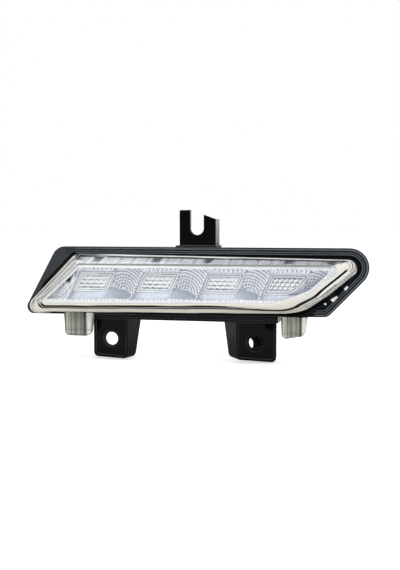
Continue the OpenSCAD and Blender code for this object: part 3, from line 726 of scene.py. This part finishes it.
def optic(i):
    """Clear block with a double frame round its field of pillows, with painted highlights on the frame's
    ridges and painted shade in its grooves and lines.
    """
    left, right = cell_left(i), cell_left(i) + OPTIC_W
    cols, rows = 110, 70
    t, zz = np.meshgrid(np.linspace(0, 1, cols), np.linspace(CELL_LOW, CELL_HIGH, rows))
    lo = left + zz * LEAN
    hi = right + zz * LEAN
    if i == 3:
        end_z = [-5, -4.2, -3, -1, 2, 5.6, 9.3]
        end_x = [59, 62.5, 65.5, 68.6, 71.8, 74.4, 76.6]
        hi = np.minimum(hi, np.interp(zz, end_z, end_x))
    xx = lo + (hi - lo) * t
    width = hi - lo
    flank = np.where((i == 3) & (zz < 0), 0.5, 0.9)
    dist = np.minimum.reduce([t * width * 0.9, (1 - t) * width * flank, zz - CELL_LOW, CELL_HIGH - zz])
    ridge = np.exp(-((dist - 0.4) / 0.42) ** 2) + np.exp(-((dist - 2.0) / 0.36) ** 2)
    groove = np.exp(-((dist - 1.2) / 0.30) ** 2) + 0.8 * np.exp(-((dist - 2.7) / 0.25) ** 2)
    field = np.clip((dist - 2.4) / 0.5, 0, 1)
    s = t * width
    across = 0.85 if i == 3 else 0.25
    pitch_x = 3.3
    rows_at = (6.2, 3.6, 0.9, -1.5)
    wave = 0.22 * np.sin(s * 1.9 + i)
    line = np.zeros_like(zz)
    for n, level in enumerate(rows_at):
        weight = (0.35, 0.75, 1.0, 1.1)[n] if i < 3 else 0.9
        bits = 0.78 + 0.30 * np.sin(s * 1.3 + 1.7 * n + i) if i < 3 else 0.62 + 0.38 * np.sin(s * 3.8 + n)
        fade = 1.0 - 0.45 * np.clip((s - 14) / 8, 0, 1) * (i < 3)
        line = np.maximum(line, weight * bits * fade * np.exp(-((zz - level - wave) / 0.40) ** 2))
    column = np.exp(-((np.mod(s - 0.25 * zz, pitch_x) - pitch_x / 2) / 0.42) ** 2)
    cross = column * across
    y = OPTIC_Y - 0.45 * ridge + 0.4 * groove + field * 0.5 * np.maximum(line, cross)
    frame_dark = np.where(t > 0.5, (0.34, 0.36, 0.42, 0.46)[i], (0.08, 0.16, 0.40, 0.46)[i])
    tone = 0.86 + 0.22 * ridge - frame_dark * groove
    dashes = np.where(zz > CELL_HIGH - 2, 0.25 * (np.mod(xx + zz, 2.4) < 1.0), 0.0)
    tone = tone + groove * dashes
    tone = tone + field * (0.16 - 1.05 * line - 0.7 * cross * (1 - line))
    # painted shade: sides of the block, a little darker than its face
    xx, zz, tone = (np.pad(grid, 1, mode="edge") for grid in (xx, zz, tone))
    y = np.pad(y, 1, constant_values=BLOCK_Y)
    tone[0] *= 0.8
    tone[-1] *= 0.9
    tone[:, 0] *= 0.7
    tone[:, -1] *= 0.8
    name = "inner_optic_" + str(i + 1)
    warm, keep = np.full(xx.shape, 0.1), np.ones(xx.shape, bool)
    block = sheet(name + "_face", xx, zz, y, tone, warm, keep, OPTIC, 50)
    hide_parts(name)


# Lens
# Painted reflection bands as middle, half width and marks, which are shade, warmth and the share of
# painted reflection over the glass
CORNER_RINGS = ((1.1, 1.3, (1.0, 1.0, 0.95)), (2.8, 0.4, (0.62, 0.9, 0.9)), (3.7, 0.5, (0.98, 0.6, 0.9)),
                (4.5, 0.3, (0.30, 0.4, 0.9)), (5.6, 0.8, (0.80, 0.7, 0.85)),
                (6.7, 0.3, (0.25, 0.4, 0.9)), (7.6, 0.5, (0.95, 0.7, 0.9)))
LEFT_BANDS = ((0.04, 0.04, (1.0, 0.6, 0.85)), (0.30, 0.03, (0.32, 0.5, 0.6)),
              (0.44, 0.06, (0.82, 0.8, 0.6)), (0.62, 0.03, (0.25, 0.5, 0.55)),
              (0.87, 0.05, (0.98, 0.9, 0.9)), (0.975, 0.04, (0.18, 0.5, 0.9)))
# Where the painted bands of the lower flank end, and those of the right flank
LOW_ENDS = (0.30, 0.45, 0.47, 0.47, 0.64)
RIGHT_ENDS = (0.30, 0.45, 0.64, 0.70, 0.92)


def banded(value, ground, bands):
    """The marks of the band that the value falls in, or else of the ground."""
    for middle, half, mark in bands:
        if abs(value - middle) < half:
            return mark
    return ground


def flank_marks(p, normal, level, fillet):
    """Shade, warmth and share of painted reflection of the lens skin at a point.

    level goes from 0 at the front to 1 at the seat, fillet from 0 at the flank to 1 on the face.
    """
    nx, nz = normal
    low = clipped((-nz - 0.70) / 0.29) if nx > 0 else 1.0
    high = clipped((nz - 0.86) / 0.1)
    left = (nx < 0) * clipped((nz + 0.6) / 0.9)
    far = clipped((p[0] - 15) / 40)
    sway = 0.02 * math.sin(p[0] * 0.11) + 0.012 * math.sin(p[0] * 0.37 + 1)
    g = level + sway * (0.4 if nx > 0.5 else 1) - 0.35 * fillet
    # how far a point lies outwards of the straight dark streak of painted reflection at the right end
    off = 0.855 * (p[0] - 86.2) - 1.07 * (p[2] - 5.2) + 0.063 * (p[1] + 22) - 5.3
    first, last = -0.13 + 0.43 * far, 0.26 + 0.23 * far
    h = low * (0.30 + 0.15 * (g - first) / (last - first)) + (1 - low) * (0.375 + 0.07 * off)
    ends = [low * a + (1 - low) * b for a, b in zip(LOW_ENDS, RIGHT_ENDS)]
    if h < ends[0]:
        face = low < 0.6 and level < 0.06 + 0.012 * max(0, p[2] - 4)
        a = (1.0, 0.1, 0.15 if fillet > 0.4 else 0.5) if face else (0.98, 1.0 if h > 0.16 else 0.75, 0.93)
    elif h < ends[1]:
        split = low > 0.6 and far < 0.6 and abs(h - 0.385) < 0.014
        a = (0.45, 0.9, 0.96) if split else (0.06 * far * low, 0.1, 0.985)
    elif h < ends[2]:
        a = (1.02 if low < 0.6 else 0.8, 0.6, 0.96)
    elif h < ends[3]:
        a = (0.05 if p[2] < 3 else 0.7, 0.5, 0.96)
    elif h < ends[4]:
        hatch = 0.22 * math.sin(p[0] * 1.9 + p[2] * 2.3)
        a = (0.93 - 0.2 * far, 1.0, 0.95) if low > 0.6 else (0.55 + hatch, 0.8, 0.85)
    elif p[0] < -112:
        a = (0.85 if g < 0.95 else 0.4, 0.9, 0.8)
    else:
        a = (0.0, 0.1, 0.985)
    # painted reflection rings in the glass at the upper corner
    across = p[0] - 99.8 + 0.16 * (p[1] + 14)
    up = p[2] - 15.0 + 0.07 * (p[1] + 14)
    reach = math.hypot(across * 0.85, up * 1.1)
    if low < 0.5 and reach < 8.2 and across * 0.8 + up > -1.2 - 0.8 * math.sin(up * 1.7):
        a = banded(reach, a, CORNER_RINGS)
    # painted reflection: dark and light lines along the face's rounded edge
    if fillet > 0:
        b = (0.30, 0.4, 0.8) if fillet < 0.3 else (0.97, 0.2, 0.55) if fillet < 0.75 else (0.92, 0.1, 0.1)
        d = (0.95, 0.6, 0.30) if fillet < 0.4 else (0.92, 0.4, 0.12)
    else:
        b = (0.90, 0.1, 0.06) if g < 0.88 else (1.0, 0.1, 0.9)
        if g > 0.42 and -96 < p[0] < -73 + 3 * math.sin(g * 9):
            b = (0.12 + 0.1 * math.sin(p[0] * 2.1), 0.0, 0.92)
        hatch = 0.10 * math.sin(p[0] * 1.1 + p[2] * 2.7)
        d = banded(level + sway, (0.54 + 1.4 * hatch, 0.5, 0.5), LEFT_BANDS)
    rest = 1 - high
    return [high * b[k] + rest * (left * d[k] + (1 - left) * a[k]) for k in range(3)]


def lens():
    """The clear cover: face, flank, seat and the inside of its wall, with painted reflections marked on
    the outside.
    """
    arc = [math.radians(a) for a in range(90, 0, -9)]
    skins = [(FRONT_Y + FILLET * (1 - math.sin(a)), FILLET * (1 - math.cos(a)), 1) for a in arc]
    skins += [(y, 0, 1) for y in np.linspace(FRONT_Y + FILLET, SEAT_Y, 60)]
    skins += [(0, 0, 1), (0, 1.3, 0), (2.2, 1.3, 0), (2.2, LENS_WALL, 0)]
    skins += [(y, LENS_WALL, 0) for y in np.linspace(SEAT_Y, FRONT_Y + LENS_WALL + 1, 9)]
    skins += [(FRONT_Y + LENS_WALL + 0.3, LENS_WALL + 0.3, 0), (FRONT_Y + LENS_WALL, LENS_WALL + 1, 0)]
    rings = [ring(y, d) for y, d, _ in skins]
    verts, faces = skin(rings)
    marks = []
    for (y, d, outer), r in zip(skins, rings):
        n = len(r)
        for i, p in enumerate(r):
            if not outer or d >= FILLET * 0.999:
                marks.append((0.9, 0.3, 0.0))
                continue
            a, b = r[i - 1], r[(i + 1) % n]
            run = math.hypot(b[0] - a[0], b[2] - a[2]) + 1e-9
            normal = ((b[2] - a[2]) / run, -(b[0] - a[0]) / run)
            marks.append(flank_marks(p, normal, share(y, FRONT_Y, SEAT_Y), d / FILLET))
    shade, warm, frost = zip(*marks)
    cover = make("lens_cover", verts, faces, CLEAR, 40, shade=shade, warm=warm, frost=frost)
    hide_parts("front_lens")


def lug(name, x1, x2, low, rise):
    """A clear cup with two pockets under the lens; its foot rises to the right."""
    top, ceiling, wall_t, behind = -20.3, -24.5, 2.4, 1
    middle = (x1 + x2) / 2
    slope = rise / (x2 - x1 - 2.4)
    half_up = low + slope * (middle - x1)
    body = rounded([(x1 + 0.8, low), (x2 - 1.6, low + rise), (x2, top), (x1, top)],
                   [3, 4, 0.6, 0.6], 8, 2)
    left = rounded([(x1 + 0.8 + wall_t, low + wall_t), (middle - 1, half_up + wall_t),
                    (middle - 1, ceiling), (x1 + wall_t, ceiling)], [1.6, 0.6, 0.6, 0.6], 6, 2)
    right = rounded([(middle + 1, half_up + wall_t), (x2 - 1.6 - wall_t, low + rise + wall_t),
                     (x2 - wall_t, ceiling), (middle + 1, ceiling)], [0.6, 2, 0.6, 0.6], 6, 2)
    cup = solid(name, body, -5.6, -0.3, LUG, 0.45, [(left, -3.2, behind), (right, -3.2, behind)])
    spots = [v.co for v in cup.data.vertices]
    mark(cup.data, "across", [(v.x * 1000 - SHIFT[0] - x1) / (x2 - x1) for v in spots])
    mark(cup.data, "rise", [(v.z * 1000 - SHIFT[2] - low) / (top - low) for v in spots])
    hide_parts("front_lens")


def pegs():
    """Clear pegs that hold the lens edge in the trough."""
    slant = math.radians(41)
    c, s = math.cos(slant), math.sin(slant)
    places = ((97.5, 1.2, 3.4, 1.5), (90.2, -6.2, 3.2, 2.3), (86.2, -11.6, 0.2, 0.6))
    for k, (px, pz, reach, half) in enumerate(places):
        corners = [(-2.4, -half), (reach, -half), (reach, half), (-2.4, half)]
        turned = [(px + x * c + z * s, pz - x * s + z * c) for x, z in corners]
        peg = solid("lens_peg_" + str(k + 1), turned, -1.8, -0.3, PEG, 0.3)
        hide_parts("front_lens")


# Mouldings on the flange
def raised(x, z):
    """Whether the mouldings run along this part of the edge: the top and the high end."""
    return x > -95 and z > 15 or x > 79


def strip(name, profile):
    """A moulding that follows the flange's edge; the profile gives inset, depth and the tone of its
    painted highlight.
    """
    rings = [rim(d) for d, _, _ in profile]
    n = len(rings[0])
    path = [i for i in range(n) if raised(*rings[0][i])]
    verts = [(r[i][0], y, r[i][1]) for r, (_, y, _) in zip(rings, profile) for i in path]
    shade = [tone for _, _, tone in profile for _ in path]
    m = len(path)
    faces = [(k * m + i, k * m + i + 1, (k + 1) * m + i + 1, (k + 1) * m + i)
             for k in range(len(profile) - 1) for i in range(m - 1) if path[i + 1] == path[i] + 1]
    piece = make(name, verts, faces, LINED, 60, shade=shade)


def mouldings():
    """The bead, the ridge and the rib, from the flange's edge inwards, with painted highlights along
    their tops.
    """
    strip("flange_bead", [(-0.04, 0.2, 0), (-0.04, -0.6, 0), (0.25, -0.98, 0), (0.7, -1.1, 0.15),
                          (1.05, -1.12, 1.0), (1.55, -1.1, 0.9), (1.74, -0.9, 0.05), (1.76, -0.1, 0)])
    strip("flange_ridge", [(2.54, -0.1, 0), (2.56, -0.9, 0.05), (2.8, -1.05, 0.6), (3.25, -1.05, 0.55),
                           (3.54, -0.9, 0.1), (3.56, 1.2, 0)])
    strip("flange_rib", [(3.9, 2.3, 0), (3.95, -0.35, 0.1), (4.15, -0.55, 0.85), (4.6, -0.55, 0.75),
                         (4.8, -0.35, 0.05), (4.85, 2.3, 0)])


reflector_face()
reflector_rim()
for i in range(4):
    optic(i)
lens()
lug("lens_lug_left", -97.5, -76.2, -37, 0)
lug("lens_lug_right", 56.5, 74.5, -35.5, 2.7)
pegs()
mouldings()

# Finishes of the other nodes
FINISH = {
    "rear_housing": BLACK,
    "seal_bead": plain("sealant", (0.05, 0.05, 0.055), (0.08, 0.08, 0.085), 0.6),
    "led_board": plain("board_white", (0.72, 0.73, 0.70), (0.80, 0.81, 0.78), 0.5),
    "thermal_pad": plain("pad_grey", (0.42, 0.46, 0.5), (0.5, 0.54, 0.58), 0.8),
    "heat_sink": plain("sink_metal", (0.55, 0.56, 0.58), (0.65, 0.66, 0.68), 0.35, 700, 0.9),
    "driver_board": plain("board_green", (0.05, 0.2, 0.11), (0.07, 0.26, 0.15), 0.4),
    "driver_chip": plain("chip_black", (0.02, 0.02, 0.022), (0.035, 0.035, 0.038), 0.5),
    "diode": plain("diode_black", (0.02, 0.02, 0.022), (0.03, 0.03, 0.033), 0.45),
    "coil": plain("coil_grey", (0.06, 0.06, 0.065), (0.1, 0.1, 0.105), 0.55),
    "capacitors": plain("can_metal", (0.55, 0.56, 0.58), (0.66, 0.67, 0.69), 0.3, 500, 0.9),
    "link_header": plain("header_black", (0.025, 0.027, 0.03), (0.04, 0.042, 0.045), 0.4),
    "connector_pins": plain("pin_metal", (0.55, 0.5, 0.4), (0.66, 0.6, 0.48), 0.28, 800, 1.0),
    "vent_cap": plain("cap_black", (0.012, 0.013, 0.014), (0.022, 0.023, 0.025), 0.5),
}
screw_metal = plain("screw_metal", (0.45, 0.46, 0.47), (0.58, 0.59, 0.6), 0.32, 900, 1.0)
led_face = plain("led_yellow", (0.8, 0.62, 0.18), (0.88, 0.7, 0.26), 0.35)
for name in ("board_screws", "driver_screws", "reflector_screws"):
    FINISH[name] = screw_metal
for i in range(4):
    FINISH["led_" + str(i + 1)] = led_face
FINISH["front_lens"] = CLEAR
FINISH["reflector"] = BRIGHT
for name, obj in frame["nodes"].items():
    obj.data.materials.clear()
    obj.data.materials.append(FINISH.get(name, OPTIC))


# Studio
def world():
    """Even white light; gloss and glass see white behind and above, and a darker room in front."""
    w = bpy.data.worlds.new("studio")
    bpy.context.scene.world = w
    w.use_nodes = True
    nt = w.node_tree
    back = nt.nodes["Background"]
    _, y, z = parted(nt, node(nt, "TexCoord").outputs["Generated"])
    behind = ranged(nt, y, 0.0, 1.0, -0.35, 0.05, interpolation_type="SMOOTHSTEP")
    above = ranged(nt, z, 0.22, 1.0, 0.10, 0.55, interpolation_type="SMOOTHSTEP")
    path = node(nt, "LightPath")
    glossy = combined(nt, "MAXIMUM", path.outputs["Is Glossy Ray"], path.outputs["Is Transmission Ray"])
    strength = node(nt, "Mix", data_type="FLOAT")
    feed(nt, strength.inputs["Factor"], glossy)
    feed(nt, strength.inputs[2], 0.5)
    feed(nt, strength.inputs[3], combined(nt, "MAXIMUM", behind, above))
    shown = combined(nt, "MAXIMUM", strength.outputs[0], path.outputs["Is Camera Ray"])
    nt.links.new(shown, back.inputs["Strength"])
    back.inputs["Color"].default_value = (1, 1, 1, 1)


def lamp(name, place, size, power):
    """A soft rectangular lamp that points at the part."""
    data = bpy.data.lights.new(name, "AREA")
    data.shape = "RECTANGLE"
    data.size, data.size_y = size
    data.energy = power
    obj = bpy.data.objects.new(name, data)
    obj.location = place
    obj.rotation_euler = (Vector(LAMP_TARGET) - Vector(place)).to_track_quat("-Z", "Y").to_euler()
    bpy.context.scene.collection.objects.link(obj)


def floor():
    """A plain pale floor, white to the camera."""
    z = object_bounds()[0][2] - 0.0002
    mesh = bpy.data.meshes.new("floor")
    mesh.from_pydata([(-6, -4, z), (6, -4, z), (6, 8, z), (-6, 8, z)], [], [(0, 1, 2, 3)])
    mat, nt, b = material("floor_white", (0.86, 0.86, 0.86), 0.7, specular=0.1)
    glow = node(nt, "LightPath")
    seen = combined(nt, "MAXIMUM", glow.outputs["Is Camera Ray"], glow.outputs["Is Transmission Ray"])
    nt.links.new(ranged(nt, seen, 0.0, 0.6), b.inputs["Emission Strength"])
    b.inputs["Emission Color"].default_value = (1, 1, 1, 1)
    mesh.materials.append(mat)
    obj = bpy.data.objects.new("floor", mesh)
    bpy.context.scene.collection.objects.link(obj)
    obj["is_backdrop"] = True


def camera():
    """The camera at the photograph's angle."""
    az, el = math.radians(CAMERA_AZ), math.radians(CAMERA_EL)
    back = Vector((math.sin(az) * math.cos(el), -math.cos(az) * math.cos(el), math.sin(el)))
    data = bpy.data.cameras.new("camera")
    data.lens = CAMERA_LENS
    data.sensor_width = 36
    obj = bpy.data.objects.new("camera", data)
    obj.location = Vector(row((0, 0, 0))) + back * CAMERA_DISTANCE
    obj.rotation_euler = (-back).to_track_quat("-Z", "Y").to_euler()
    bpy.context.scene.collection.objects.link(obj)
    bpy.context.scene.camera = obj


world()
lamp("key", (-0.25, -0.45, 0.75), (0.7, 0.5), 3.45)
lamp("fill", (0.65, -0.55, 0.35), (0.35, 0.6), 1.3)
lamp("top", (0.1, 0.15, 0.8), (0.9, 0.5), 2.2)
floor()
camera()
bpy.context.scene.view_settings.view_transform = "Standard"
